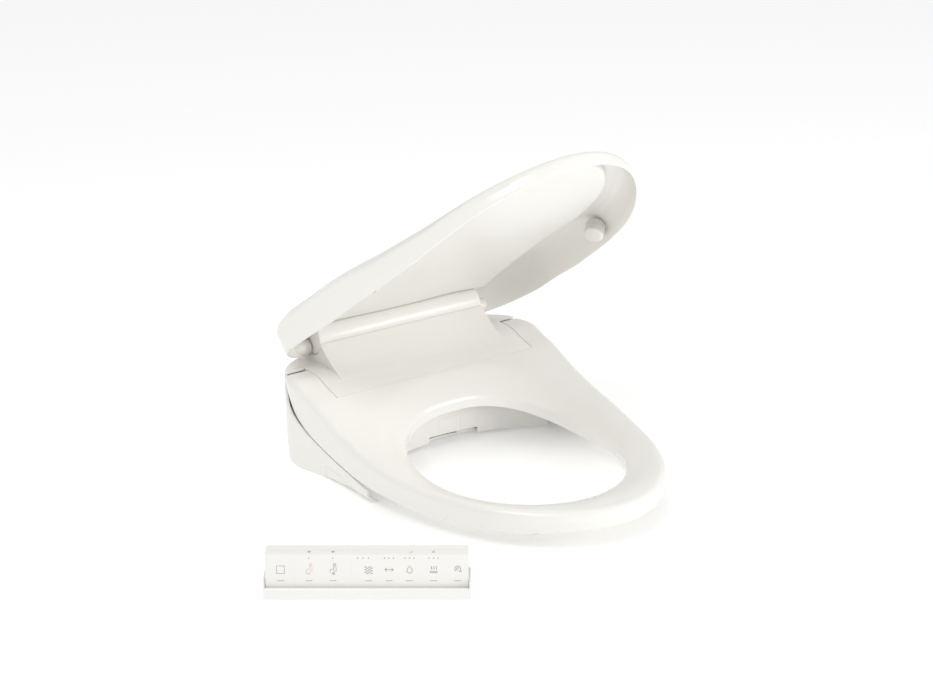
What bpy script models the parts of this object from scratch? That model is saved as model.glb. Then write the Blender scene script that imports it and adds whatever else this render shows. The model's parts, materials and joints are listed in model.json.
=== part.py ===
"""Electric bidet seat with a half open lid and a cordless remote control.

Lengths below are in millimetres and angles in degrees; build() turns them into metres. +Z is up, the seat's front
points to -Y, and X is 0 on its plane of symmetry. The origin is the middle of the mounting plate's underside.
"""

import math

import bmesh
import bpy
from mathutils import Matrix, Vector

MM = 0.001
GAP = 0.4

# Plan outline of the seat: half an ellipse in front, straight sides, round rear corners.
HALF_WIDTH = 191.6
ELLIPSE_Y = -125.4
ELLIPSE_REACH = 315.4
REAR_HALF_WIDTH = 195.0
CORNER_X, CORNER_Y = 110.0, -18.0
CORNER_RADIUS = REAR_HALF_WIDTH - CORNER_X
ARM_END_Y = 22.5
WING_INSET = 4.2
BASE_REAR_Y = CORNER_Y + CORNER_RADIUS

# The opening in the seat.
HOLE_CENTRE = Vector((0.0, -230.0))
HOLE_HALF_WIDTH, HOLE_FRONT, HOLE_REAR = 128.0, 141.0, 142.0
HOLE_POWER_FRONT, HOLE_POWER_REAR = 2.0, 2.4

# Side views, as (y, z): the seat's top edge, its skirt's lower edge, and the side panel's top edge.
SEAT_TOP = [(-441, 54), (-360, 52.5), (-264, 52), (-169, 62), (-120, 74), (-73, 92), (-53, 100),
            (-27, 107.3), (-14, 112.5), (-1, 115), (20, 115.5), (70, 115.5)]
SKIRT_FOOT = [(-436, 29), (-360, 21), (-264, 20), (-200, 23), (-169, 25), (-135, 29), (-110, 34), (-84, 40),
              (-59, 47), (-36, 55), (-16, 66), (1, 77), (12, 86), (19, 94), (22.5, 99)]
PANEL_TOP = [(-166, 20), (-135, 27.5), (-110, 32.5), (-84, 38.5), (-59, 45.5), (-36, 53.5), (-16, 64.4),
             (1, 75), (12, 83.4), (19, 90.6), (24.7, 95.8), (25.5, 112), (70, 112)]
# The closed lid: its rim, the top edge of its side wall, and its crown on the centre line.
LID_RIM = [(-443, 61), (-320, 60), (-264, 60), (-198, 68), (-169, 72), (-92, 94), (-34, 106), (10, 120),
           (30, 129), (70, 131)]
LID_EDGE = [(-443, 81), (-322, 85), (-281, 91), (-234, 100), (-180, 116), (-125, 130), (-71, 141), (-15, 153),
            (10, 155), (35, 155), (70, 152)]
LID_CROWN = [(-443, 84), (-400, 91), (-320, 103), (-234, 120), (-125, 147), (-15, 171), (30, 177), (70, 176)]

# Hinges, as (y, z), and the rest position of the lid.
LID_AXIS = (46.0, 143.0)
SEAT_AXIS = (6.0, 104.0)
LID_OPEN = 47.0
LINER_WIDTH, LINER_LENGTH = 0.77, 0.955
HUMP_RADIUS = 20.0
HUMP_HALF = 128.6

# Top cover.
COVER_HALF = 154.2
COVER_FRONT = -53.0
COVER_BOTTOM = 34.0
WALL = 3.0
DECK_TOP, DECK_FRONT = 115.2, 24.6

# Front wall with the nozzle's shutter, which is a piece of the wall, and a shallow notch in its foot.
FRONT_WALL_Y, FRONT_WALL_SWEEP = -58.0, 38.0
PLATE_GAP = WALL + 3.0
NOTCH_LEFT, NOTCH_RIGHT, NOTCH_TOP = -17.0, 57.5, 12.0
NOZZLE_X, NOZZLE_Z = 15.0, 16.0
SHUTTER_HALF, SHUTTER_TOP = 17.0, 33.0
SHUTTER_HINGE_Y = -61.0
NOZZLE_SLOPE = math.radians(35)
NOZZLE_RADIUS, NOZZLE_LEAD, NOZZLE_LENGTH, TIP_LENGTH = 7.0, 48.0, 88.0, 12.0

# Remote control, in its own frame: x along it, y to its back, z up.
REMOTE_PLACE = (-325.5, -375.7, 0.0)
REMOTE_TURN = math.radians(-36)
HANDSET_HALF = 114.5
HOLDER_HALF = 117.0
FACE_FOOT, FACE_HEAD = (6.0, 7.0), (12.0, 49.0)
FACE_KEYS = [("key_stop", -97), ("key_front", -65), ("key_rear", -38), ("key_massage", 2), ("key_position", 25),
             ("key_water_heat", 48), ("key_seat_heat", 75), ("key_dryer", 102)]
TOP_KEYS = [("key_clean_front", -65), ("key_clean_rear", -38), ("key_lid_up", 49), ("key_seat_up", 75)]

PLASTIC = ("white_gloss_plastic", (0.86, 0.84, 0.79), 0.28, 0.0)
LINER_PLASTIC = ("white_satin_plastic", (0.84, 0.82, 0.77), 0.4, 0.0)
INNER_PLASTIC = ("grey_inner_plastic", (0.45, 0.45, 0.44), 0.5, 0.0)
RUBBER = ("pale_rubber", (0.62, 0.6, 0.56), 0.75, 0.0)
STEEL = ("steel", (0.62, 0.62, 0.6), 0.3, 1.0)
BRASS = ("brass", (0.72, 0.56, 0.3), 0.35, 1.0)
BOARD = ("circuit_board", (0.08, 0.3, 0.14), 0.6, 0.0)
COPPER = ("heater_foil", (0.7, 0.45, 0.3), 0.4, 1.0)
KEY_PLASTIC = ("key_plastic", (0.83, 0.81, 0.76), 0.38, 0.0)

parts = bpy.data.collections.new("electric_bidet_seat")
cutters = bpy.data.collections.new("cutters")


# ---------------------------------------------------------------- curves and outlines

def along(table, y):
    """Height at y on a smooth curve through the table's (y, z) points."""
    if y <= table[0][0]:
        return float(table[0][1])
    if y >= table[-1][0]:
        return float(table[-1][1])
    i = max(k for k in range(len(table) - 1) if table[k][0] <= y)
    (y0, z0), (y1, z1) = table[i], table[i + 1]
    chord = (z1 - z0) / (y1 - y0)
    before = (z0 - table[i - 1][1]) / (y0 - table[i - 1][0]) if i > 0 else chord
    after = (table[i + 2][1] - z1) / (table[i + 2][0] - y1) if i + 2 < len(table) else chord
    slope0 = 0.0 if before * chord <= 0 else 2 * before * chord / (before + chord)
    slope1 = 0.0 if after * chord <= 0 else 2 * after * chord / (after + chord)
    t = (y - y0) / (y1 - y0)
    step = y1 - y0
    return ((2 * t**3 - 3 * t**2 + 1) * z0 + (t**3 - 2 * t**2 + t) * step * slope0
            + (3 * t**2 - 2 * t**3) * z1 + (t**3 - t**2) * step * slope1)


def plan_half(grow, rear, counts):
    """Right half of the plan outline grown outwards by grow, from the front tip to the middle of the rear edge."""
    front, side, corner, back = counts
    points = []
    for i in range(front):
        t = math.radians(90) * i / front
        points.append(((HALF_WIDTH + grow) * math.sin(t), ELLIPSE_Y - (ELLIPSE_REACH + grow) * math.cos(t)))
    for i in range(side):
        t = i / side
        points.append((HALF_WIDTH + grow + t * (REAR_HALF_WIDTH - HALF_WIDTH),
                       ELLIPSE_Y + t * (CORNER_Y - ELLIPSE_Y)))
    radius = CORNER_RADIUS + grow
    last = math.asin(min(1.0, (rear - CORNER_Y) / radius))
    for i in range(corner):
        t = last * i / corner
        points.append((CORNER_X + radius * math.cos(t), CORNER_Y + radius * math.sin(t)))
    end_x = CORNER_X + radius * math.cos(last)
    end_y = CORNER_Y + radius * math.sin(last)
    for i in range(back + 1):
        points.append((end_x * (1 - i / back), end_y))
    return points


def plan_loop(grow, rear, counts):
    """The whole plan outline, from the front tip round the +X side."""
    half = plan_half(grow, rear, counts)
    return [Vector(p) for p in half + [(-x, y) for x, y in half[-2:0:-1]]]


def inset(loop, distance):
    """A closed loop moved inwards by distance; a negative distance moves it out."""
    moved = []
    for i, p in enumerate(loop):
        along_edges = (p - loop[i - 1]).normalized() + (loop[(i + 1) % len(loop)] - p).normalized()
        inward = Vector((-along_edges.y, along_edges.x))
        moved.append(p + inward * (2 * distance / inward.length_squared))
    return moved


def hole_loop(outer):
    """Edge of the opening, one point for each point of the outer loop, seen from the opening's centre."""
    points = []
    for p in outer:
        d = (p - HOLE_CENTRE).normalized()
        reach = HOLE_REAR if d.y > 0 else HOLE_FRONT
        power = HOLE_POWER_REAR if d.y > 0 else HOLE_POWER_FRONT
        radius = (abs(d.x / HOLE_HALF_WIDTH) ** power + abs(d.y / reach) ** power) ** (-1 / power)
        points.append(HOLE_CENTRE + d * radius)
    return points


def hole_height(y):
    """Height of the seat's top at the edge of the opening."""
    return 38.0 + 32.0 * max(0.0, (y - HOLE_CENTRE.y) / HOLE_REAR) ** 2


def seat_height(point, edge):
    """Height of the seat's top at a point, with edge the nearest point of the opening."""
    blend_width = 50.0 - 15.0 * min(1.0, max(0.0, (edge.y + 300.0) / 142.0 - 0.5))
    t = min(1.0, (point - edge).length / blend_width)
    share = 1.0 - (1.0 - t) ** 2
    return along(SEAT_TOP, point.y) * share + hole_height(edge.y) * (1.0 - share)


def mix(a, b, t):
    """Loop between two loops."""
    return [p.lerp(q, t) for p, q in zip(a, b)]


def raised(loop, height):
    """3-D ring over a plan loop; height takes a point's number and the point."""
    return [Vector((p.x, p.y, height(i, p))) for i, p in enumerate(loop)]


# ---------------------------------------------------------------- meshes and objects

def shader(spec):
    """Principled material from (name, colour, roughness, metallic)."""
    name, colour, roughness, metallic = spec
    found = bpy.data.materials.get(name)
    if found:
        return found
    made = bpy.data.materials.new(name)
    made.use_nodes = True
    node = made.node_tree.nodes["Principled BSDF"]
    node.inputs["Base Color"].default_value = (*colour, 1.0)
    node.inputs["Roughness"].default_value = roughness
    node.inputs["Metallic"].default_value = metallic
    made.diffuse_color = (*colour, 1.0)
    return made


def build(name, bm, spec, parent=None, group=parts):
    """Object from a bmesh in millimetres, placed in its parent's frame."""
    bmesh.ops.recalc_face_normals(bm, faces=bm.faces)
    bmesh.ops.scale(bm, vec=(MM, MM, MM), verts=bm.verts)
    mesh = bpy.data.meshes.new(name)
    bm.to_mesh(mesh)
    bm.free()
    mesh.shade_smooth()
    mesh.set_sharp_from_angle(angle=math.radians(32))
    mesh.materials.append(shader(spec))
    made = bpy.data.objects.new(name, mesh)
    group.objects.link(made)
    if parent is not None:
        made.parent = parent
    return made


def pivot(name, place, turn=(0.0, 0.0, 0.0), parent=None):
    """Empty at place, in millimetres, for a moving piece to hang on."""
    made = bpy.data.objects.new(name, None)
    made.location = [c * MM for c in place]
    made.rotation_euler = turn
    made.empty_display_size = 0.02
    parts.objects.link(made)
    made.parent = parent
    return made


def place(obj, location=(0, 0, 0), turn=(0, 0, 0)):
    """Moves an object to location, in millimetres, and turns it."""
    obj.location = [c * MM for c in location]
    obj.rotation_euler = turn
    return obj


def bevel(obj, width, segments=1):
    """Rounds the object's sharp edges."""
    modifier = obj.modifiers.new("bevel", "BEVEL")
    modifier.width = width * MM
    modifier.segments = segments
    modifier.limit_method = "ANGLE"
    modifier.angle_limit = math.radians(40)
    return obj


def hide(cutter):
    """Marks an object as a cutter, which isn't a part."""
    cutter.hide_render = True
    cutter.display_type = "WIRE"
    return cutter


def boolean(obj, other, operation):
    """Adds an exact Boolean of obj with a cutter."""
    modifier = obj.modifiers.new(operation.lower(), "BOOLEAN")
    modifier.operation = operation
    modifier.solver = "EXACT"
    modifier.object = hide(other)
    return obj


def loft(rings, closed=False, poles=(None, None), split=True):
    """Mesh through rings of equal length. It closes on itself, on a point at either end, or on flat caps.

    Split quads are two triangles along the shorter diagonal, so that the two skins of a thin sheet stay parallel.
    """
    bm = bmesh.new()
    rows = [[bm.verts.new(p) for p in ring] for ring in rings]
    count = len(rows[0])
    pairs = list(zip(rows, rows[1:])) + ([(rows[-1], rows[0])] if closed else [])
    for a, b in pairs:
        for i in range(count):
            j = (i + 1) % count
            if not split:
                bm.faces.new((a[i], a[j], b[j], b[i]))
            elif (a[i].co - b[j].co).length < (a[j].co - b[i].co).length:
                bm.faces.new((a[i], a[j], b[j]))
                bm.faces.new((a[i], b[j], b[i]))
            else:
                bm.faces.new((a[i], a[j], b[i]))
                bm.faces.new((a[j], b[j], b[i]))
    if not closed:
        for row, pole in ((rows[0], poles[0]), (rows[-1], poles[1])):
            if pole is None:
                bm.faces.new(row)
                continue
            tip = bm.verts.new(pole)
            for i in range(count):
                bm.faces.new((row[i], row[(i + 1) % count], tip))
    return bm


def prism(outline, low, high, axis="z"):
    """Solid from an outline extruded along an axis from low to high. The outline's pairs are (x, y) or (y, z)."""
    if axis == "z":
        rings = [[Vector((a, b, level)) for a, b in outline] for level in (low, high)]
    else:
        rings = [[Vector((level, a, b)) for a, b in outline] for level in (low, high)]
    return loft(rings, split=False)


def block(size, centre=(0, 0, 0)):
    """Box of a size about a centre."""
    bm = bmesh.new()
    bmesh.ops.create_cube(bm, size=1.0)
    bmesh.ops.scale(bm, vec=size, verts=bm.verts)
    bmesh.ops.translate(bm, vec=centre, verts=bm.verts)
    return bm


def rod(radius, length, axis="x", centre=(0, 0, 0), segments=20):
    """Cylinder about a centre, along x, y or z."""
    turn = {"x": Matrix.Rotation(math.radians(90), 3, "Y"), "y": Matrix.Rotation(math.radians(90), 3, "X"),
            "z": Matrix.Identity(3)}[axis]
    bm = bmesh.new()
    bmesh.ops.create_cone(bm, cap_ends=True, segments=segments, radius1=radius, radius2=radius, depth=length)
    bmesh.ops.rotate(bm, cent=(0, 0, 0), matrix=turn, verts=bm.verts)
    bmesh.ops.translate(bm, vec=centre, verts=bm.verts)
    return bm


def turned(name, profile, spec, steps=24, closed=False, parent=None):
    """Piece turned about its own z axis from an (r, z) profile that runs down its outer side."""
    bm = bmesh.new()
    verts = [bm.verts.new((r, 0.0, z)) for r, z in profile]
    for a, b in zip(verts, verts[1:] + ([verts[0]] if closed else [])):
        bm.edges.new((a, b))
    made = build(name, bm, spec, parent)
    screw = made.modifiers.new("turn", "SCREW")
    screw.axis = "Z"
    screw.steps = screw.render_steps = steps
    screw.use_merge_vertices = True
    screw.merge_threshold = 0.00001
    screw.use_smooth_shade = True
    return made


# ---------------------------------------------------------------- seat

def make_seat():
    """Seat ring with its two arms, on the seat hinge."""
    hinge = pivot("seat_pivot", (0, *SEAT_AXIS))
    outer = plan_loop(0.0, ARM_END_Y, (14, 5, 4, 6))
    hole = hole_loop(outer)
    inner_ring, outer_ring = inset(hole, -10), inset(outer, 9)

    def top(drop):
        return lambda i, p: seat_height(p, hole[i]) - drop

    def foot(drop):
        return lambda i, p: along(SKIRT_FOOT, outer[i].y) - drop

    def lip(drop):
        return lambda i, p: hole_height(hole[i].y) - drop

    shares = (0.25, 0.5, 0.75)
    shell = [raised(hole, lip(11)), raised(hole, lip(3.5)), raised(inset(hole, -3), top(1.0)),
             raised(inner_ring, top(0))]
    shell += [raised(mix(inner_ring, outer_ring, t), top(0)) for t in shares]
    shell += [raised(outer_ring, top(0)), raised(inset(outer, 2.5), top(2.4)), raised(outer, top(8)),
              raised(inset(outer, 4.7), foot(0)), raised(inset(outer, 7.7), foot(0)),
              raised(inset(outer, 3.4), top(9)), raised(inset(outer, 9.6), top(3.2))]
    shell += [raised(mix(inner_ring, outer_ring, t), top(3)) for t in reversed(shares)]
    shell += [raised(inner_ring, top(3)), raised(inset(hole, -3.2), lip(4.8)), raised(inset(hole, -3), lip(11))]

    low_outer, low_inner = inset(outer, 8.6), inset(hole, -3.9)
    low_middle = mix(low_inner, low_outer, 0.5)

    def between(drop):
        return lambda i, p: (lip(drop)(i, p) + foot(-4.5 + drop - 8)(i, p)) / 2

    pan = [raised(low_inner, lip(11)), raised(low_inner, lip(8)), raised(low_middle, between(8)),
           raised(low_outer, foot(-4.5)), raised(low_outer, foot(-1.5)), raised(low_middle, between(11))]
    sheet = [raised(mix(inner_ring, outer_ring, t), top(3.6)) for t in shares]
    sheet += [raised(mix(inner_ring, outer_ring, t), top(4.4)) for t in reversed(shares)]

    room = build("cover_room", block((2 * COVER_HALF + 1.6, 90.0, 140.0), (0, COVER_FRONT - 0.6 + 45.0, 90.0)),
                 INNER_PLASTIC, group=cutters)
    arm_room = build("arm_room", block((400, 60, 140), (0, 10.0, 90.0)), INNER_PLASTIC, group=cutters)
    back = hinge.location / MM
    for name, rings, spec in (("seat_top_shell", shell, PLASTIC), ("seat_base_shell", pan, LINER_PLASTIC),
                              ("seat_heater_sheet", sheet, COPPER)):
        moved = [[p - back for p in ring] for ring in rings]
        shell = boolean(build(name, loft(moved, closed=True), spec, hinge), room, "DIFFERENCE")
        if name == "seat_base_shell":
            boolean(shell, arm_room, "DIFFERENCE")

    for name, x, y in (("seat_buffer_front_left", -82, -372), ("seat_buffer_front_right", 82, -372),
                       ("seat_buffer_rear_left", -159, -215), ("seat_buffer_rear_right", 159, -215)):
        buffer = turned(name, [(0, 22), (8, 22), (9, 21), (9, 16), (8, 15), (0, 15)], RUBBER, 16, parent=hinge)
        place(buffer, Vector((x, y, 0)) - back)
    for name, side in (("seat_hinge_bush_left", -1), ("seat_hinge_bush_right", 1)):
        bush = turned(name, [(5.8, 10), (5.8, -10), (4.4, -10), (4.4, 10)], STEEL, 20, True, hinge)
        place(bush, (side * 167.5, 0, 0), (0, math.radians(90), 0))


# ---------------------------------------------------------------- lid

LID_CENTRE = Vector((0.0, -200.0, 0.0))


def lid_surface(outline, scale, drop, edge_table, crown_table, power):
    """Ring of a crowned sheet: the outline scaled about the lid's centre."""
    ring = []
    for p in outline:
        q = LID_CENTRE.xy + (p - LID_CENTRE.xy) * scale
        fall = along(crown_table, p.y) - along(edge_table, p.y)
        ring.append(Vector((q.x, q.y, along(crown_table, q.y) - fall * scale**power - drop)))
    return ring


def liner_loop(outline, scale):
    """Plan loop of the liner, narrower than the lid and nearly as long, shrunk about the lid's centre."""
    loop = [Vector((p.x * LINER_WIDTH, p.y * LINER_LENGTH + 2.5)) for p in outline]
    return [LID_CENTRE.xy + (p - LID_CENTRE.xy) * scale for p in loop]


def ceiling(point, outline):
    """Point on the underside of the lid's crown, above a plan point."""
    away = point - LID_CENTRE.xy
    share, edge_y = 1.0, point.y
    for a, b in zip(outline, outline[1:] + outline[:1]):
        side_a, side_b = (a - LID_CENTRE.xy), (b - LID_CENTRE.xy)
        if away.cross(side_a) * away.cross(side_b) <= 0 and away.dot(side_a + side_b) > 0:
            t = away.cross(side_a) / (away.cross(side_a) - away.cross(side_b))
            meet = side_a.lerp(side_b, t)
            share, edge_y = away.length / meet.length, LID_CENTRE.y + meet.y
    fall = along(LID_CROWN, edge_y) - along(LID_EDGE, edge_y)
    return Vector((point.x, point.y, along(LID_CROWN, point.y) - fall * share**5 - 3.2))


def make_lid():
    """Lid shell, liner, buffers and hinge bosses, drawn closed and hung on the lid hinge at its rest angle."""
    hinge = pivot("lid_pivot", (0, *LID_AXIS), (math.radians(-LID_OPEN), 0, 0))
    back = Vector((0, *LID_AXIS))
    outline = plan_loop(2.0, CORNER_Y + CORNER_RADIUS + 2.0, (13, 4, 7, 4))
    scales = (0.3, 0.6, 0.8, 0.92)

    def rim(loop, drop=0.0):
        return [Vector((p.x, p.y, along(LID_RIM, p.y) - drop)) for p in loop]

    outside = [lid_surface(outline, s, 0, LID_EDGE, LID_CROWN, 5) for s in scales]
    edge = [[Vector((p.x, p.y, along(LID_EDGE, p.y) - fall)) for p in inset(outline, d)]
            for d, fall in ((5, -0.6), (1.2, 3), (0, 8))]
    inside_edge = [[Vector((p.x, p.y, along(LID_EDGE, p.y) - fall)) for p in inset(outline, d)]
                   for d, fall in ((3.2, 9), (6.5, 4))]
    inside = [lid_surface(outline, s, 3.2, LID_EDGE, LID_CROWN, 5) for s in (0.91, 0.79, 0.6, 0.3)]
    rings = outside + edge + [rim(outline), rim(inset(outline, 3))] + inside_edge + inside
    top = along(LID_CROWN, LID_CENTRE.y)
    poles = [Vector((0, LID_CENTRE.y, top)), Vector((0, LID_CENTRE.y, top - 3.2))]
    shell = build("lid_shell", loft([[p - back for p in r] for r in rings], poles=[p - back for p in poles]),
                  PLASTIC, hinge)

    panel = [[ceiling(p, outline) + Vector((0, 0, fall)) for p in liner_loop(outline, s)]
             for s, fall in ((0.35, -1.5), (0.7, -1.5), (1.0, -1.5), (1.0, -4.5), (0.7, -7.5), (0.35, -8.5))]
    level = along(LID_CROWN, LID_CENTRE.y) - 3.2
    poles = [Vector((0, LID_CENTRE.y, level - fall)) for fall in (1.5, 8.5)]
    liner = build("lid_liner", loft([[p - back for p in r] for r in panel], poles=[p - back for p in poles]),
                  LINER_PLASTIC, hinge)

    length = 2 * HUMP_HALF + 2.2
    swing = build("hump_room", rod(HUMP_RADIUS + 2.6, length, segments=40), PLASTIC, hinge, cutters)
    slot = build("slot_room", block((length, 60, 90), (0, 34, -10)), PLASTIC, hinge, cutters)
    for room in (swing, slot):
        boolean(shell, room, "DIFFERENCE")
    boolean(liner, build("liner_end", block((420, 80, 60), (0, 16, 0)), PLASTIC, hinge, cutters), "DIFFERENCE")

    for name, side in (("lid_buffer_left", -1), ("lid_buffer_right", 1)):
        profile = [(0, 22.5), (11, 22.5), (11.6, 21.5)]
        profile += [(13 if n % 2 else 11.8, 20.5 - 2 * n) for n in range(1, 9)]
        profile += [(13, 2), (11.5, 0), (0, 0)]
        place(turned(name, profile, RUBBER, 20, parent=hinge), Vector((side * 170.5, -203, 68.5)) - back)
    for name, side in (("lid_hinge_boss_left", -1), ("lid_hinge_boss_right", 1)):
        boss = turned(name, [(8.4, 2.5), (9.6, 0.5), (9.6, -10.5), (5.6, -10.5), (5.6, 2.5)], PLASTIC, 24, True, hinge)
        place(boss, (side * 140.6, 0, 0), (0, side * math.radians(90), 0))


# ---------------------------------------------------------------- base casing

def make_side_panels():
    """Two side panels from the pointed front end to the round rear corner, with the drain cover in the left one."""
    levels = [-166, -150, -130, -107, -84, -59, -35, -18, -6, 4, 12, 19, 24.7, 25.5, 36, 47]
    path = []
    for y in levels:
        shrink = WING_INSET * min(1.0, max(0.0, (4.0 - y) / 60.0))
        if y < ELLIPSE_Y:
            x = (HALF_WIDTH - shrink) * math.sqrt(1 - ((ELLIPSE_Y - y) / (ELLIPSE_REACH - shrink)) ** 2)
        elif y < CORNER_Y:
            t = (y - ELLIPSE_Y) / (CORNER_Y - ELLIPSE_Y)
            x = HALF_WIDTH - shrink + t * (REAR_HALF_WIDTH - HALF_WIDTH)
        else:
            x = CORNER_X - shrink + math.sqrt(CORNER_RADIUS**2 - (y - CORNER_Y) ** 2)
        path.append(Vector((x, y)))
    for angle in (60, 70, 80, 90):
        path.append(Vector((CORNER_X + CORNER_RADIUS * math.cos(math.radians(angle)),
                            CORNER_Y + CORNER_RADIUS * math.sin(math.radians(angle)))))

    def sections(side):
        rings = []
        for i, p in enumerate(path):
            tangent = path[min(i + 1, len(path) - 1)] - path[max(i - 1, 0)]
            inward = Vector((-tangent.y, tangent.x)).normalized()
            top = along(PANEL_TOP, p.y)
            foot_in = 3.0 + 15.0 * min(1.0, max(0.0, (-20.0 - p.y) / 111.0))
            marks = [(0, top), (0.5, 0.6 * top), (0.45 * foot_in, 0.22 * top), (foot_in, 0)]
            marks += [(d + WALL, z) for d, z in reversed(marks)]
            ring = [p + inward * d for d, _ in marks]
            rings.append([Vector((side * q.x, q.y, z)) for q, (_, z) in zip(ring, marks)])
        return rings

    trapezoid = [(-69, 3), (-76, 23), (-112, 20), (-117, 3)]
    cover_shape = [(-69.6, 3.5), (-76.3, 22.5), (-111.7, 19.6), (-116.3, 3.5)]
    left = build("side_panel_left", loft(sections(-1)), PLASTIC)
    cover = build("drain_cover", loft(sections(-1)), PLASTIC)
    window = build("drain_window", prism(trapezoid, -215, -150, "x"), PLASTIC, group=cutters)
    core = build("drain_core", prism(cover_shape, -215, -150, "x"), PLASTIC, group=cutters)
    boolean(left, window, "DIFFERENCE")
    boolean(cover, core, "INTERSECT")
    plug = turned("drain_plug", [(0, 9), (6, 9), (7, 8), (7, 2), (9, 2), (9, 0), (5, 0), (5, -6), (0, -6)],
                  INNER_PLASTIC, 20)
    place(plug, (-162, -94, 14.5), (0, math.radians(-90), 0))

    right = build("side_panel_right", loft(sections(1)), PLASTIC)
    boolean(right, build("button_room", block((40, 26, 12), (188, -60, 24)), PLASTIC, group=cutters), "DIFFERENCE")
    button = build("release_button", block((14, 24.8, 10.8)), PLASTIC)
    bevel(place(button, (182.2, -60, 24)), 1.2, 2)


def wall_y(x):
    """Front face of the curved front wall."""
    return FRONT_WALL_Y - FRONT_WALL_SWEEP * (x / 143.0) ** 2


def wall_sheet():
    """The front wall as a whole, before its shutter is cut out."""
    steps = 24
    rings = []
    for i in range(steps + 1):
        x = -148 + 296 * i / steps
        top = 54 - 21 * (x / 143) ** 2
        y = wall_y(x)
        rings.append([Vector((x, y, 4)), Vector((x, y, top)), Vector((x, y + WALL, top)), Vector((x, y + WALL, 4))])
    return loft(rings)


def make_front_wall():
    """Curved wall at the rear of the opening, its notch, the nozzle's shutter and the dryer's comb grille."""
    width = NOTCH_RIGHT - NOTCH_LEFT
    middle = (NOTCH_LEFT + NOTCH_RIGHT) / 2
    notch = build("notch_room", block((width, 30, 20), (middle, FRONT_WALL_Y, NOTCH_TOP - 10)), PLASTIC, group=cutters)
    height = SHUTTER_TOP - NOTCH_TOP
    spot = (NOZZLE_X, FRONT_WALL_Y, NOTCH_TOP + height / 2)
    doorway = build("doorway", block((2 * SHUTTER_HALF + 2 * GAP, 30, height + 2 * GAP), spot), PLASTIC, group=cutters)
    wall = build("front_wall", wall_sheet(), PLASTIC)
    boolean(wall, notch, "DIFFERENCE")
    boolean(wall, doorway, "DIFFERENCE")

    hinge_place = Vector((NOZZLE_X, SHUTTER_HINGE_Y, SHUTTER_TOP))
    hinge = pivot("nozzle_shutter_pivot", hinge_place)
    sheet = wall_sheet()
    bmesh.ops.translate(sheet, vec=-hinge_place, verts=sheet.verts)
    shutter = build("nozzle_shutter", sheet, PLASTIC, hinge)
    door = build("door_block", block((2 * SHUTTER_HALF, 30, height), spot), PLASTIC, group=cutters)
    boolean(shutter, door, "INTERSECT")

    front = wall_y(40) + 2.2
    teeth = [(27, front + 3.8), (56, front + 3.8), (56, front)]
    for n in range(1, 8):
        right = 56 - 4 * n
        teeth += [(right + 2, front), (right + 2, front + 2.3), (right, front + 2.3), (right, front)]
    teeth.append((27, front))
    build("dryer_grille", prism(teeth, 8.3, 11.7), PLASTIC)


def ramp_height(y):
    """Height of the cover's ramp, which starts nearly flat and steepens to the rear."""
    t = y - COVER_FRONT
    return 100.0 + 0.151 * t + 0.00498 * t * t


def arc(centre, radius, start, end, count):
    """Points on an arc in the (y, z) plane; angles in degrees from +y."""
    angles = [math.radians(start + (end - start) * i / count) for i in range(count + 1)]
    return [(centre[0] + radius * math.cos(a), centre[1] + radius * math.sin(a)) for a in angles]


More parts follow.
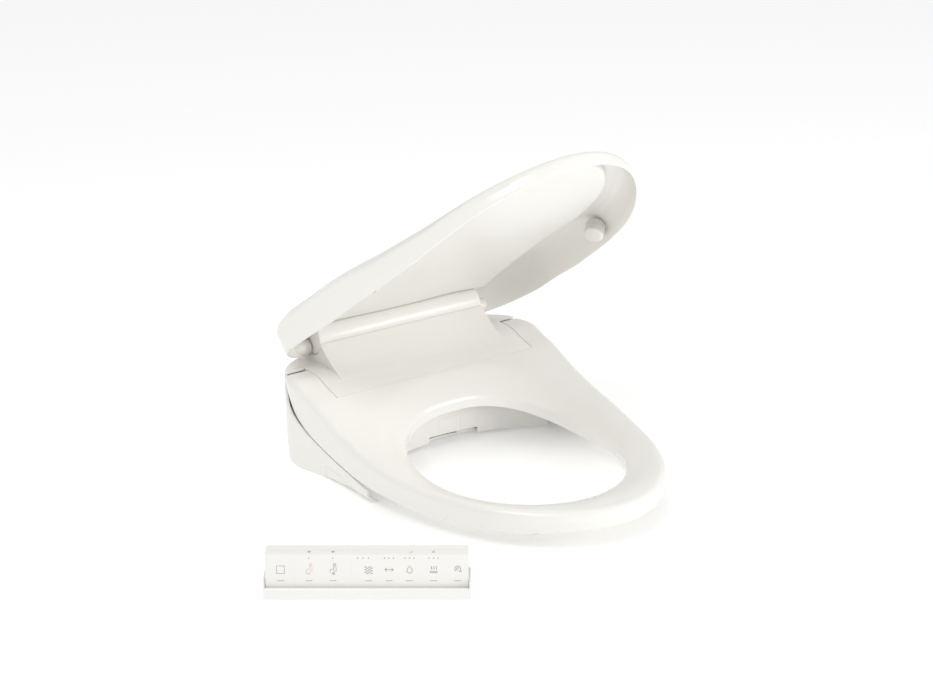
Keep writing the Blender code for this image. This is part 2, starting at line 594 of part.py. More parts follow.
def make_top_cover():
    """Cover with flats at its sides, a ramp up to the hinge housing, a cradle under it, and a rear deck."""
    rear = BASE_REAR_Y - 0.8
    flat_ys = [-53, -40, -27, -14, -1]
    flats = [(y, along(SEAT_TOP, y)) for y in flat_ys]
    flats += [(20, 115.5), (26, 115.5), (26, COVER_BOTTOM), (-53, COVER_BOTTOM)]
    flats_inside = [(y, along(SEAT_TOP, y) - WALL) for y in (-50, -40, -27, -14, -1)]
    flats_inside += [(20, 112.2), (rear - WALL, 112.2), (rear - WALL, 20), (-50, 20)]
    ramp_ys = [-52.9, -40, -27, -14, -1, 10, 18, 24.8]
    ramp = [(y, ramp_height(y)) for y in ramp_ys] + arc(LID_AXIS, HUMP_RADIUS + 0.6, 183, 275, 8)
    ramp += [(rear - 3, 121), (rear, 118), (rear, 113), (30, 113), (24, 98), (-52.9, 98)]
    ramp_inside = [(y, ramp_height(y) - 3.4) for y in (-49.9, -40, -27, -14, -1, 10)]
    ramp_inside += [(19.5, 131)] + arc(LID_AXIS, HUMP_RADIUS + 4, 207, 270, 5)
    ramp_inside += [(rear - 5, 118.5), (rear - WALL, 115), (rear - WALL, 90), (-49.9, 90)]
    half = [p for p in plan_half(-0.2, BASE_REAR_Y - 0.2, (1, 1, 10, 3)) if p[1] > DECK_FRONT]
    radius = CORNER_RADIUS - 0.2
    start_x = CORNER_X + math.sqrt(radius**2 - (DECK_FRONT - CORNER_Y) ** 2)
    deck = [(start_x, DECK_FRONT)] + half + [(-x, y) for x, y in half[-2::-1]] + [(-start_x, DECK_FRONT)]

    cover = build("top_cover", prism(flats, -COVER_HALF, COVER_HALF, "x"), PLASTIC)
    boolean(cover, build("ramp_block", prism(ramp, -HUMP_HALF, HUMP_HALF, "x"), PLASTIC, group=cutters), "UNION")
    boolean(cover, build("deck_block", prism(deck, DECK_TOP - WALL, DECK_TOP), PLASTIC, group=cutters), "UNION")
    hollow = COVER_HALF - WALL
    rooms = [prism(flats_inside, -hollow, hollow, "x"), prism(ramp_inside, -HUMP_HALF + WALL, HUMP_HALF - WALL, "x"),
             rod(5, 2 * COVER_HALF + 10, centre=(0, *SEAT_AXIS)), block((88, 12, 30), (NOZZLE_X, COVER_FRONT + 2, 31))]
    for number, room in enumerate(rooms):
        boolean(cover, build(f"cover_hollow_{number}", room, PLASTIC, group=cutters), "DIFFERENCE")

    half_length = HUMP_HALF
    housing = [(19, half_length), (HUMP_RADIUS, half_length - 1), (HUMP_RADIUS, 1 - half_length), (19, -half_length),
               (6.5, -half_length), (6.5, 2.5 - half_length), (17.4, 2.5 - half_length), (17.4, half_length - 2.5),
               (6.5, half_length - 2.5), (6.5, half_length)]
    place(turned("hinge_housing", housing, PLASTIC, 36, True), (0, *LID_AXIS), (0, math.radians(90), 0))


def make_base():
    """Rear panel, decks, base plate and mounting plate."""
    rear = build("rear_panel", block((2 * CORNER_X - 1, WALL, 112), (0, BASE_REAR_Y - WALL / 2, 56)), PLASTIC)
    bevel(rear, 0.6)
    for name, side in (("deck_left", -1), ("deck_right", 1)):
        xs = (46, 80, 110, 145)
        outline = [(side * x, wall_y(x) + PLATE_GAP) for x in xs]
        outline += [(side * x, y) for x, y in ((166, -94), (173, -60), (180, -20), (179, 5), (174, 20), (156, 20),
                                               (156, -46), (46, -46))]
        build(name, prism(outline, 30, 33), PLASTIC)
    xs = (-144, -110, -80, -46, 0, 46, 80, 110, 144)
    outline = [(x, wall_y(x) + PLATE_GAP) for x in xs]
    corner = [(CORNER_X + 72 * math.cos(a), CORNER_Y + 72 * math.sin(a))
              for a in (math.radians(15 * n) for n in range(7))]
    outline += [(150, -84)] + corner + [(-x, y) for x, y in reversed(corner)] + [(-150, -84)]
    build("base_plate", prism(outline, 5, 8), LINER_PLASTIC)
    bevel(build("mounting_plate", block((210, 76, 4.5), (0, 0, 2.25)), INNER_PLASTIC), 0.8)


# ---------------------------------------------------------------- works inside the base

def make_hinge_drives():
    """Lid and seat drives: a geared motor body on a shaft that ends in the hinge bosses."""
    lid = [(0, 150), (4.2, 150), (5, 149), (5, 90), (12, 90), (12, -90), (5, -90), (5, -149), (4.2, -150), (0, -150)]
    place(turned("lid_drive", lid, STEEL, 20), (0, *LID_AXIS), (0, math.radians(90), 0))
    seat = [(0, 176), (3.2, 176), (4, 175), (4, 70), (9, 70), (9, -50), (4, -50), (4, -175), (3.2, -176), (0, -176)]
    place(turned("seat_drive", seat, STEEL, 20), (0, *SEAT_AXIS), (0, math.radians(90), 0))


def make_nozzle():
    """Wand and spray tip that slide down and forward through the bay, their rail and their motor."""
    direction = Vector((0, -math.cos(NOZZLE_SLOPE), -math.sin(NOZZLE_SLOPE)))
    across = Vector((0, math.sin(NOZZLE_SLOPE), -math.cos(NOZZLE_SLOPE)))
    tip_front = Vector((NOZZLE_X, FRONT_WALL_Y, NOZZLE_Z)) - direction * NOZZLE_LEAD
    turn = (NOZZLE_SLOPE + math.radians(90), 0, 0)
    tip = [(0, TIP_LENGTH), (4.5, TIP_LENGTH), (NOZZLE_RADIUS, TIP_LENGTH - 3), (NOZZLE_RADIUS, 0), (0, 0)]
    place(turned("nozzle_tip", tip, STEEL, 20), tip_front - direction * TIP_LENGTH, turn)
    length = NOZZLE_LENGTH - TIP_LENGTH - GAP
    wand = [(0, length), (NOZZLE_RADIUS, length), (NOZZLE_RADIUS, 0), (0, 0)]
    place(turned("nozzle_wand", wand, KEY_PLASTIC, 20), tip_front - direction * NOZZLE_LENGTH, turn)
    middle = tip_front - direction * (NOZZLE_LENGTH / 2 - 8) + across * 12.5
    rail = build("nozzle_rail", block((20, 6, 84)), INNER_PLASTIC)
    bevel(place(rail, middle, turn), 1.0)
    place(build("nozzle_motor", rod(13, 22, "x"), STEEL), middle + Vector((-24, 6, 6)))


def make_works():
    """Water path, dryer, deodoriser and electronics."""
    bevel(build("flow_heater", block((92, 40, 52), (-104, 14, 38)), INNER_PLASTIC), 4, 2)
    bevel(build("inlet_valve", block((36, 24, 26), (-118, 42, 82)), BRASS), 2)
    nipple = [(0, 20), (8, 20), (10.5, 18.5), (10.5, 6), (13, 6), (13, 0), (0, 0)]
    place(turned("inlet_nipple", nipple, BRASS, 24), (-86, BASE_REAR_Y + GAP, 26), (math.radians(-90), 0, 0))
    gland = [(0, 12), (4.5, 12), (6, 4), (9, 4), (9, 0), (0, 0)]
    place(turned("cable_gland", gland, RUBBER, 20), (88, BASE_REAR_Y + GAP, 26), (math.radians(-90), 0, 0))
    fan_centre = (118, -8, 24)
    housing = build("dryer_housing", rod(27, 24, "z", fan_centre, 28), INNER_PLASTIC)
    duct = build("duct_block", block((91, 22, 15), (77.5, -40, 16.5)), INNER_PLASTIC, group=cutters)
    boolean(housing, duct, "UNION")
    rooms = {"fan_room": rod(24.5, 24, "z", (118, -8, 27), 28), "duct_room": block((87, 18, 11), (77.5, -40, 16.5)),
             "outlet_room": block((24, 8, 8), (48, -50, 16))}
    for name, room in rooms.items():
        boolean(housing, build(name, room, INNER_PLASTIC, group=cutters), "DIFFERENCE")
    hub = pivot("fan_pivot", (118, -8, 26))
    blades = [(0.5 * r, a) for r, a in ((42, 0), (42, 9), (17, 13), (17, 32))]
    outline = [(r * math.cos(math.radians(a + 45 * n)), r * math.sin(math.radians(a + 45 * n)))
               for n in range(8) for r, a in blades]
    build("dryer_impeller", prism(outline, -8, 7), KEY_PLASTIC, hub)
    bevel(build("deodoriser_cartridge", block((42, 32, 20), (-112, -27, 19)), INNER_PLASTIC), 2)
    bevel(build("control_board", block((90, 40, 4), (81, 34, 62)), BOARD), 0.5)


# ---------------------------------------------------------------- remote control

def make_remote():
    """Holder, handset shells, battery cover and keys, in the remote's own frame."""
    frame = pivot("remote_frame", REMOTE_PLACE, (0, 0, REMOTE_TURN))
    trough = [(0, 0), (0, 12.5), (1, 13.5), (3.5, 13.5), (4.5, 12.5), (4.8, 5), (37.5, 5), (38, 26), (39, 27),
              (40.5, 27), (41.5, 26), (42, 0)]
    holder = build("remote_holder", prism(trough, -HOLDER_HALF + 2, HOLDER_HALF - 2, "x"), PLASTIC, frame)
    ear = [(0, 0), (0, 13), (2, 20), (6, 22.5), (37, 22.5), (42, 20), (42, 0)]
    for side in (-1, 1):
        low, high = sorted((side * (HOLDER_HALF - 2.1), side * HOLDER_HALF))
        boolean(holder, build(f"ear_block_{high:.0f}", prism(ear, low, high, "x"), PLASTIC, frame, cutters), "UNION")

    front = [FACE_FOOT, FACE_HEAD, (14, 50.5), (23.8, 51.3), (23.8, 7)]
    front_inside = [(10, 10), (15.5, 45.5), (26, 47), (26, 10)]
    back = [(24.2, 7), (24.2, 51.4), (33.4, 52.3), (35.2, 50.5), (34.4, 7)]
    back_inside = [(21, 10), (21, 48), (32, 48), (31.3, 10)]
    hollow = HANDSET_HALF - 3
    shells = []
    for name, outer, inner in (("handset_front", front, front_inside), ("handset_back", back, back_inside)):
        shell = build(name, prism(outer, -HANDSET_HALF, HANDSET_HALF, "x"), PLASTIC, frame)
        room = build(name + "_room", prism(inner, -hollow, hollow, "x"), PLASTIC, frame, cutters)
        shells.append(boolean(shell, room, "DIFFERENCE"))
    cover = build("battery_cover", block((70, 1.2, 28), (0, 36.1, 29)), PLASTIC, frame)
    bevel(cover, 0.5)

    rise = Vector((0, FACE_HEAD[0] - FACE_FOOT[0], FACE_HEAD[1] - FACE_FOOT[1]))
    lean = math.atan2(rise.y, rise.z)
    inward = Vector((0, math.cos(lean), -math.sin(lean)))
    middle = Vector((0, *FACE_FOOT)) + rise * 0.62
    rooms = []
    for name, x in FACE_KEYS:
        spot = middle + Vector((x, 0, 0))
        key = build(name, block((18.4, 1.4, 21.4)), KEY_PLASTIC, frame)
        bevel(place(key, spot + inward * 0.5, (-lean, 0, 0)), 0.3)
        rooms.append((spot, (19, 4.4, 22), (-lean, 0, 0)))
    for name, x in TOP_KEYS:
        key = build(name, block((16.4, 6.4, 1.4)), KEY_PLASTIC, frame)
        spot = Vector((x, 18.9, 50.9))
        tilt = math.radians(4.67)
        bevel(place(key, spot + Vector((0, 0, -0.5)), (tilt, 0, 0)), 0.3)
        rooms.append((spot, (17, 7, 4.4), (tilt, 0, 0)))
    bm = bmesh.new()
    for spot, size, turn in rooms:
        corners = bmesh.ops.create_cube(bm, size=1.0)["verts"]
        bmesh.ops.scale(bm, vec=size, verts=corners)
        bmesh.ops.rotate(bm, cent=(0, 0, 0), matrix=Matrix.Rotation(turn[0], 3, "X"), verts=corners)
        bmesh.ops.translate(bm, vec=spot, verts=corners)
    boolean(shells[0], build("key_rooms", bm, PLASTIC, frame, cutters), "DIFFERENCE")


def main():
    """Clears the scene and builds every part."""
    for obj in list(bpy.data.objects):
        bpy.data.objects.remove(obj, do_unlink=True)
    for collection in (parts, cutters):
        bpy.context.scene.collection.children.link(collection)
    make_seat()
    make_lid()
    make_side_panels()
    make_front_wall()
    make_top_cover()
    make_base()
    make_hinge_drives()
    make_nozzle()
    make_works()
    make_remote()
    bpy.context.view_layer.update()


main()
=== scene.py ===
"""Electric bidet seat with its remote control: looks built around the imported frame. Sizes in millimetres."""

import json
import math

import bmesh
import bpy
from mathutils import Matrix, Vector


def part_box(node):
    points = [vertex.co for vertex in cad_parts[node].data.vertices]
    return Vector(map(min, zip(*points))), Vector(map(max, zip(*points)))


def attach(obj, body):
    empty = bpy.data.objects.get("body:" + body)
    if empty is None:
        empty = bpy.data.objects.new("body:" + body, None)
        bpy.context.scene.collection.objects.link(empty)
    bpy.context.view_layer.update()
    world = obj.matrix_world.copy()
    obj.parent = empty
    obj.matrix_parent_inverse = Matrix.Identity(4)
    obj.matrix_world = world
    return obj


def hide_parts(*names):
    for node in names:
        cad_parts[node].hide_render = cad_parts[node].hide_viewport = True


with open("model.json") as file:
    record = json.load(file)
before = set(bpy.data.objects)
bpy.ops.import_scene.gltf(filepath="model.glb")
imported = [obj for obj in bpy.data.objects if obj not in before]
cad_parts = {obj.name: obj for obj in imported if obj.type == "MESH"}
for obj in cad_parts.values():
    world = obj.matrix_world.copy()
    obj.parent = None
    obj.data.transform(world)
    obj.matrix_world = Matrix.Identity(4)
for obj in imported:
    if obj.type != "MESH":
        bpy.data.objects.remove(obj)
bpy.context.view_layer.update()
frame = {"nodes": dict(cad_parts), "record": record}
NODES = frame["nodes"]
BODIES = {node: body for body, names in frame["record"]["behaviour"]["bodies"].items() for node in names}
SLOTS = {part["node"]: part["material_slot"] for part in frame["record"]["subparts"]}
MM = 0.001

# ---------------------------------------------------------------- dimensions shared with the frame

HALF_WIDTH = 191.6
ELLIPSE_Y, ELLIPSE_REACH = -125.4, 315.4
REAR_HALF_WIDTH = 195.0
CORNER_X, CORNER_Y, CORNER_RADIUS = 110.0, -18.0, 85.0
ARM_END_Y = 22.5
HOLE_CENTRE = Vector((0.0, -230.0))
HOLE_HALF_WIDTH, HOLE_FRONT, HOLE_REAR = 128.0, 141.0, 142.0
HOLE_POWER_FRONT, HOLE_POWER_REAR = 2.0, 2.4
SEAT_TOP = [(-441, 54), (-360, 52.5), (-264, 52), (-169, 62), (-120, 74), (-73, 92), (-53, 100),
            (-27, 107.3), (-14, 112.5), (-1, 115), (20, 115.5), (70, 115.5)]
SKIRT_FOOT = [(-436, 29), (-360, 21), (-264, 20), (-200, 23), (-169, 25), (-135, 29), (-110, 34), (-84, 40),
              (-59, 47), (-36, 55), (-16, 66), (1, 77), (12, 86), (19, 94), (22.5, 99)]
LID_EDGE = [(-443, 81), (-322, 85), (-281, 91), (-234, 100), (-180, 116), (-125, 130), (-71, 141),
            (-15, 153), (10, 155), (35, 155), (70, 152)]
LID_CROWN = [(-443, 84), (-400, 91), (-320, 103), (-234, 120), (-125, 147), (-15, 171), (30, 177), (70, 176)]
LID_AXIS = Vector((0.0, 46.0, 143.0))
LID_OPEN = math.radians(-47)
LINER_WIDTH, LINER_LENGTH = 0.77, 0.955
HUMP_RADIUS, HUMP_HALF = 20.0, 128.6
COVER_HALF, COVER_FRONT = 154.2, -53.0
HANDSET_HALF = 114.5
REMOTE_PLACE, REMOTE_TURN = Vector((-325.5, -375.7, 0.0)), math.radians(-36)
FACE_FOOT, FACE_HEAD = Vector((0.0, 6.0, 7.0)), Vector((0.0, 12.0, 49.0))
FACE_ALONG = (FACE_HEAD - FACE_FOOT).normalized()
FACE_OUT = Vector((0.0, -FACE_ALONG.z, FACE_ALONG.y))

# ---------------------------------------------------------------- dimensions of the visible lid, the prints and the painted groove shade

# The rim is up to 8 mm off the frame's lid. The bosses' middle, as (y, z), is 14 mm off the hinge's axis.
LID_RIM = [(-443, 61), (-395, 62), (-332, 60.5), (-292, 61), (-249, 65.5), (-199, 73), (-150, 82),
           (-114, 88.5), (-56, 102.5), (-20, 110), (9, 116.5), (41, 123), (70, 129.5)]
LID_CENTRE = Vector((0.0, -200.0))
LID_WALL = 3.4
BOSS_X, BOSS_CENTRE, BOSS_RADIUS = 144.0, (53.5, 131.0), 11.0
BUMPER_X, BUMPER_Y, BUMPER_Z = 162.0, -203.0, 82.0
BUMPER_TILT, BUMPER_LENGTH = math.radians(-42), 22.0
MARK_SCALE = 1.3
CAPTION_DROP = -13.0
LAMP_ROW, LAMP_PLACES = 13.6, (-65, -38, -10, -4, 2, 20, 25, 30, 43, 48, 53, 70, 75, 80)
# Places of the painted groove shade: darker stripes on the remote's face standing in for the shade inside its
# grooves.
PAINTED_GROOVE_SHADE_PLACES = (-82, -18)

# ---------------------------------------------------------------- dimensions of the room

FLOOR_SIZE = 9.0
SKY_STRENGTH = 0.75
KEY_PLACE, KEY_AIM, KEY_SIZE, KEY_POWER = (-1.4, -0.8, 2.3), (0, -0.15, 0.1), (1.1, 1.1), 17
FILL_PLACE, FILL_AIM, FILL_SIZE, FILL_POWER = (1.5, -2.3, 0.8), (0, -0.15, 0.15), (1.6, 0.9), 26
CAMERA_PLACE, CAMERA_AIM = Vector((-1536.6, -2233.0, 1134.7)), Vector((24.9, -83.75, 133.6))
CAMERA_LENS, CAMERA_SENSOR = 84.9, 36.0

# ---------------------------------------------------------------- curves and outlines


def along(table, y):
    """Height at y on a smooth curve through the table's (y, z) points."""
    if y <= table[0][0]:
        return float(table[0][1])
    if y >= table[-1][0]:
        return float(table[-1][1])
    i = max(k for k in range(len(table) - 1) if table[k][0] <= y)
    (y0, z0), (y1, z1) = table[i], table[i + 1]
    chord = (z1 - z0) / (y1 - y0)
    before = (z0 - table[i - 1][1]) / (y0 - table[i - 1][0]) if i > 0 else chord
    after = (table[i + 2][1] - z1) / (table[i + 2][0] - y1) if i + 2 < len(table) else chord
    slope0 = 0.0 if before * chord <= 0 else 2 * before * chord / (before + chord)
    slope1 = 0.0 if after * chord <= 0 else 2 * after * chord / (after + chord)
    t = (y - y0) / (y1 - y0)
    step = y1 - y0
    return ((2 * t**3 - 3 * t**2 + 1) * z0 + (t**3 - 2 * t**2 + t) * step * slope0
            + (3 * t**2 - 2 * t**3) * z1 + (t**3 - t**2) * step * slope1)


def plan_loop(grow, rear, counts):
    """Plan outline grown outwards by grow, from the front tip round the +X side."""
    front, side, corner, back = counts
    half = []
    for i in range(front):
        t = math.radians(90) * i / front
        half.append(((HALF_WIDTH + grow) * math.sin(t), ELLIPSE_Y - (ELLIPSE_REACH + grow) * math.cos(t)))
    for i in range(side):
        t = i / side
        half.append((HALF_WIDTH + grow + t * (REAR_HALF_WIDTH - HALF_WIDTH),
                     ELLIPSE_Y + t * (CORNER_Y - ELLIPSE_Y)))
    radius = CORNER_RADIUS + grow
    last = math.asin(min(1.0, (rear - CORNER_Y) / radius))
    for i in range(corner):
        t = last * i / corner
        half.append((CORNER_X + radius * math.cos(t), CORNER_Y + radius * math.sin(t)))
    end_x, end_y = CORNER_X + radius * math.cos(last), CORNER_Y + radius * math.sin(last)
    for i in range(back + 1):
        half.append((end_x * (1 - i / back), end_y))
    return [Vector(p) for p in half + [(-x, y) for x, y in half[-2:0:-1]]]


def inset(loop, distance):
    """A closed loop moved inwards by distance; a negative distance moves it out."""
    moved = []
    for i, p in enumerate(loop):
        edges = (p - loop[i - 1]).normalized() + (loop[(i + 1) % len(loop)] - p).normalized()
        inward = Vector((-edges.y, edges.x))
        moved.append(p + inward * (2 * distance / inward.length_squared))
    return moved


def hole_loop(outer):
    """Edge of the opening, one point for each point of the outer loop."""
    points = []
    for p in outer:
        d = (p - HOLE_CENTRE).normalized()
        reach = HOLE_REAR if d.y > 0 else HOLE_FRONT
        power = HOLE_POWER_REAR if d.y > 0 else HOLE_POWER_FRONT
        radius = (abs(d.x / HOLE_HALF_WIDTH) ** power + abs(d.y / reach) ** power) ** (-1 / power)
        points.append(HOLE_CENTRE + d * radius)
    return points


def hole_height(y):
    """Height of the seat's top at the edge of the opening."""
    return 38.0 + 32.0 * max(0.0, (y - HOLE_CENTRE.y) / HOLE_REAR) ** 2


def seat_height(point, edge):
    """Height of the seat's top at a point, with edge the nearest point of the opening."""
    blend_width = 50.0 - 15.0 * min(1.0, max(0.0, (edge.y + 300.0) / 142.0 - 0.5))
    t = min(1.0, (point - edge).length / blend_width)
    share = 1.0 - (1.0 - t) ** 2
    return along(SEAT_TOP, point.y) * share + hole_height(edge.y) * (1.0 - share)


# ---------------------------------------------------------------- materials


def plastic(name, colour, rough, coat=0.0, speck=0.006, grain=900.0, bump=0.012, metallic=0.0):
    """Moulded surface: faint drift of colour, uneven gloss and a very fine texture."""
    made = bpy.data.materials.new(name)
    made.use_nodes = True
    tree = made.node_tree
    link = tree.links.new
    shader = tree.nodes["Principled BSDF"]
    shader.inputs["Metallic"].default_value = metallic
    shader.inputs["Coat Weight"].default_value = coat
    shader.inputs["Coat Roughness"].default_value = 0.12
    place = tree.nodes.new("ShaderNodeTexCoord")
    drift = tree.nodes.new("ShaderNodeTexNoise")
    drift.inputs["Scale"].default_value = 9.0
    drift.inputs["Detail"].default_value = 3.0
    link(place.outputs["Object"], drift.inputs["Vector"])
    tint = tree.nodes.new("ShaderNodeMix")
    tint.data_type = "RGBA"
    tint.inputs["A"].default_value = (*[c * (1 - speck) for c in colour], 1)
    tint.inputs["B"].default_value = (*[min(1.0, c * (1 + speck)) for c in colour], 1)
    link(drift.outputs["Fac"], tint.inputs["Factor"])
    link(tint.outputs["Result"], shader.inputs["Base Color"])
    wear = tree.nodes.new("ShaderNodeMapRange")
    wear.inputs["To Min"].default_value = rough * 0.95
    wear.inputs["To Max"].default_value = rough * 1.08
    link(drift.outputs["Fac"], wear.inputs["Value"])
    link(wear.outputs["Result"], shader.inputs["Roughness"])
    fine = tree.nodes.new("ShaderNodeTexNoise")
    fine.inputs["Scale"].default_value = grain
    fine.inputs["Detail"].default_value = 2.0
    link(place.outputs["Object"], fine.inputs["Vector"])
    relief = tree.nodes.new("ShaderNodeBump")
    relief.inputs["Strength"].default_value = bump
    relief.inputs["Distance"].default_value = 0.0004
    link(fine.outputs["Fac"], relief.inputs["Height"])
    link(relief.outputs["Normal"], shader.inputs["Normal"])
    return made


WHITE = (0.83, 0.815, 0.775)
FINISH = {
    "casing": plastic("casing_white", WHITE, 0.3, 0.25),
    "seat_plastic": plastic("seat_white", WHITE, 0.26, 0.3),
    "seat_underside": plastic("underside_white", (0.78, 0.765, 0.72), 0.5),
    "lid_plastic": plastic("lid_white", WHITE, 0.3, 0.25),
    "lid_liner_plastic": plastic("liner_white", (0.82, 0.805, 0.765), 0.36, 0.1),
    "remote_plastic": plastic("remote_white", (0.82, 0.81, 0.78), 0.34, 0.15),
    "key_plastic": plastic("key_white", (0.82, 0.81, 0.78), 0.36, 0.1),
    "buffer_rubber": plastic("buffer_rubber", (0.76, 0.75, 0.71), 0.6, 0.0, 0.04, 1500.0, 0.08),
    "works_plastic": plastic("works_grey", (0.4, 0.4, 0.39), 0.5, 0.0, 0.05, 1200.0, 0.05),
    "nozzle_plastic": plastic("nozzle_white", (0.8, 0.8, 0.79), 0.35),
    "steel": plastic("brushed_steel", (0.6, 0.6, 0.59), 0.32, 0.0, 0.05, 2500.0, 0.06, 1.0),
    "brass": plastic("machined_brass", (0.72, 0.55, 0.28), 0.34, 0.0, 0.05, 2500.0, 0.05, 1.0),
    "board": plastic("solder_mask", (0.05, 0.22, 0.1), 0.45, 0.0, 0.15, 400.0, 0.1),
    "heater_foil": plastic("heater_foil", (0.7, 0.42, 0.26), 0.38, 0.0, 0.08, 800.0, 0.08, 1.0),
}
INK = plastic("print_grey", (0.16, 0.17, 0.18), 0.5)
INK_ROSE = plastic("print_rose", (0.72, 0.36, 0.36), 0.5)
LAMP = plastic("lamp_window", (0.22, 0.24, 0.22), 0.3)
FLOOR = plastic("paper_floor", (0.93, 0.93, 0.93), 0.9, 0.0, 0.002, 300.0, 0.01)
FLOOR.node_tree.nodes["Principled BSDF"].inputs["Emission Color"].default_value = (1.0, 1.0, 1.0, 1.0)
FLOOR.node_tree.nodes["Principled BSDF"].inputs["Emission Strength"].default_value = 0.19

# ---------------------------------------------------------------- meshes


def loft(rings, closed=False, poles=(None, None)):
    """Mesh through rings of equal length; the ends stay open, are joined, or close on a pole or a cap."""
    bm = bmesh.new()
    loops = [[bm.verts.new(p) for p in ring] for ring in rings]
    count = len(loops[0])
    pairs = list(zip(loops, loops[1:]))
    if closed:
        pairs.append((loops[-1], loops[0]))
    for a, b in pairs:
        for i in range(count):
            j = (i + 1) % count
            bm.faces.new((a[i], a[j], b[j], b[i]))
    if not closed:
        for loop, pole in ((loops[0], poles[0]), (loops[-1], poles[1])):
            if pole is None:
                bm.faces.new(loop)
                continue
            tip = bm.verts.new(pole)
            for i in range(count):
                bm.faces.new((loop[i], loop[(i + 1) % count], tip))
    bmesh.ops.recalc_face_normals(bm, faces=bm.faces[:])
    return bm


def prism(outline, low, high):
    """Solid with a (y, z) outline between two values of x."""
    return loft([[Vector((x, y, z)) for y, z in outline] for x in (low, high)])


def block(size, centre):
    """Box of a size about a centre."""
    bm = bmesh.new()
    verts = bmesh.ops.create_cube(bm, size=1.0)["verts"]
    bmesh.ops.scale(bm, vec=size, verts=verts)
    bmesh.ops.translate(bm, vec=centre, verts=verts)
    return bm


def lathe(profile, steps=64):
    """Solid of revolution about x from (x, radius) points; a radius of 0 closes an end."""
    rings = []
    poles = [None, None]
    for x, radius in profile:
        if radius > 0:
            rings.append([Vector((x, radius * math.cos(a), radius * math.sin(a)))
                          for a in (2 * math.pi * n / steps for n in range(steps))])
    if profile[0][1] == 0:
        poles[0] = Vector((profile[0][0], 0, 0))
    if profile[-1][1] == 0:
        poles[1] = Vector((profile[-1][0], 0, 0))
    return loft(rings, poles=poles)


def soften(bm, width, segments=3, angle=35.0):
    """Rounds the sharp edges of a mesh."""
    bmesh.ops.dissolve_limit(bm, angle_limit=math.radians(0.5), verts=bm.verts[:], edges=bm.edges[:])
    sharp = [e for e in bm.edges if len(e.link_faces) == 2 and e.calc_face_angle(0) > math.radians(angle)]
    bmesh.ops.bevel(bm, geom=sharp, offset=width, segments=segments, profile=0.5, affect="EDGES",
                    clamp_overlap=True)


def piece(name, bm, finish, body, stands_for=(), matrix=None, rooms=(), round_by=0.0, crease=38.0,
          flat=False):
    """Object from a mesh in millimetres, cut by rooms, with rounded edges, and tied to the frame."""
    def hidden(mesh, label):
        data = bpy.data.meshes.new(label)
        mesh.to_mesh(data)
        mesh.free()
        obj = bpy.data.objects.new(label, data)
        bpy.context.scene.collection.objects.link(obj)
        return obj

    obj = hidden(bm, name)
    tools = [hidden(room, name + "_room") for room in rooms]
    for tool in tools:
        cut = obj.modifiers.new("cut", "BOOLEAN")
        cut.operation = "DIFFERENCE"
        cut.solver = "EXACT"
        cut.object = tool
    bpy.context.view_layer.update()
    final = bpy.data.meshes.new_from_object(obj.evaluated_get(bpy.context.evaluated_depsgraph_get()))
    obj.modifiers.clear()
    for tool in tools:
        bpy.data.objects.remove(tool)
    work = bmesh.new()
    work.from_mesh(final)
    if round_by:
        soften(work, round_by)
    work.transform(matrix or Matrix.Identity(4))
    work.transform(Matrix.Scale(MM, 4))
    work.to_mesh(final)
    work.free()
    final.shade_smooth()
    final.set_sharp_from_angle(angle=math.radians(crease))
    final.materials.clear()
    final.materials.append(finish)
    obj.data = final
    if flat:
        weighted = obj.modifiers.new("weighted", "WEIGHTED_NORMAL")
        weighted.keep_sharp = True
    if stands_for:
        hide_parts(*stands_for)
    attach(obj, body)
    return obj


def refined(node, round_by, crease=38.0, swell=0.0, **extra):
    """Fine copy of a frame node with its sharp edges rounded, and grown by swell in width and height."""
    bm = bmesh.new()
    bm.from_mesh(NODES[node].data)
    bm.transform(Matrix.Scale(1 / MM, 4))
    bmesh.ops.remove_doubles(bm, verts=bm.verts[:], dist=0.002)
    if swell:
        low, high = (Vector(corner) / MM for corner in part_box(node))
        middle = (low + high) / 2
        grow = Vector(1 + swell / (high - low)[i] if i != 1 else 1.0 for i in range(3))
        bmesh.ops.translate(bm, vec=-middle, verts=bm.verts[:])
        bmesh.ops.scale(bm, vec=grow, verts=bm.verts[:])
        bmesh.ops.translate(bm, vec=middle, verts=bm.verts[:])
    return piece(node + "_fine", bm, FINISH[SLOTS[node]], BODIES[node], (node,), round_by=round_by,
                 crease=crease, **extra)


# ---------------------------------------------------------------- seat


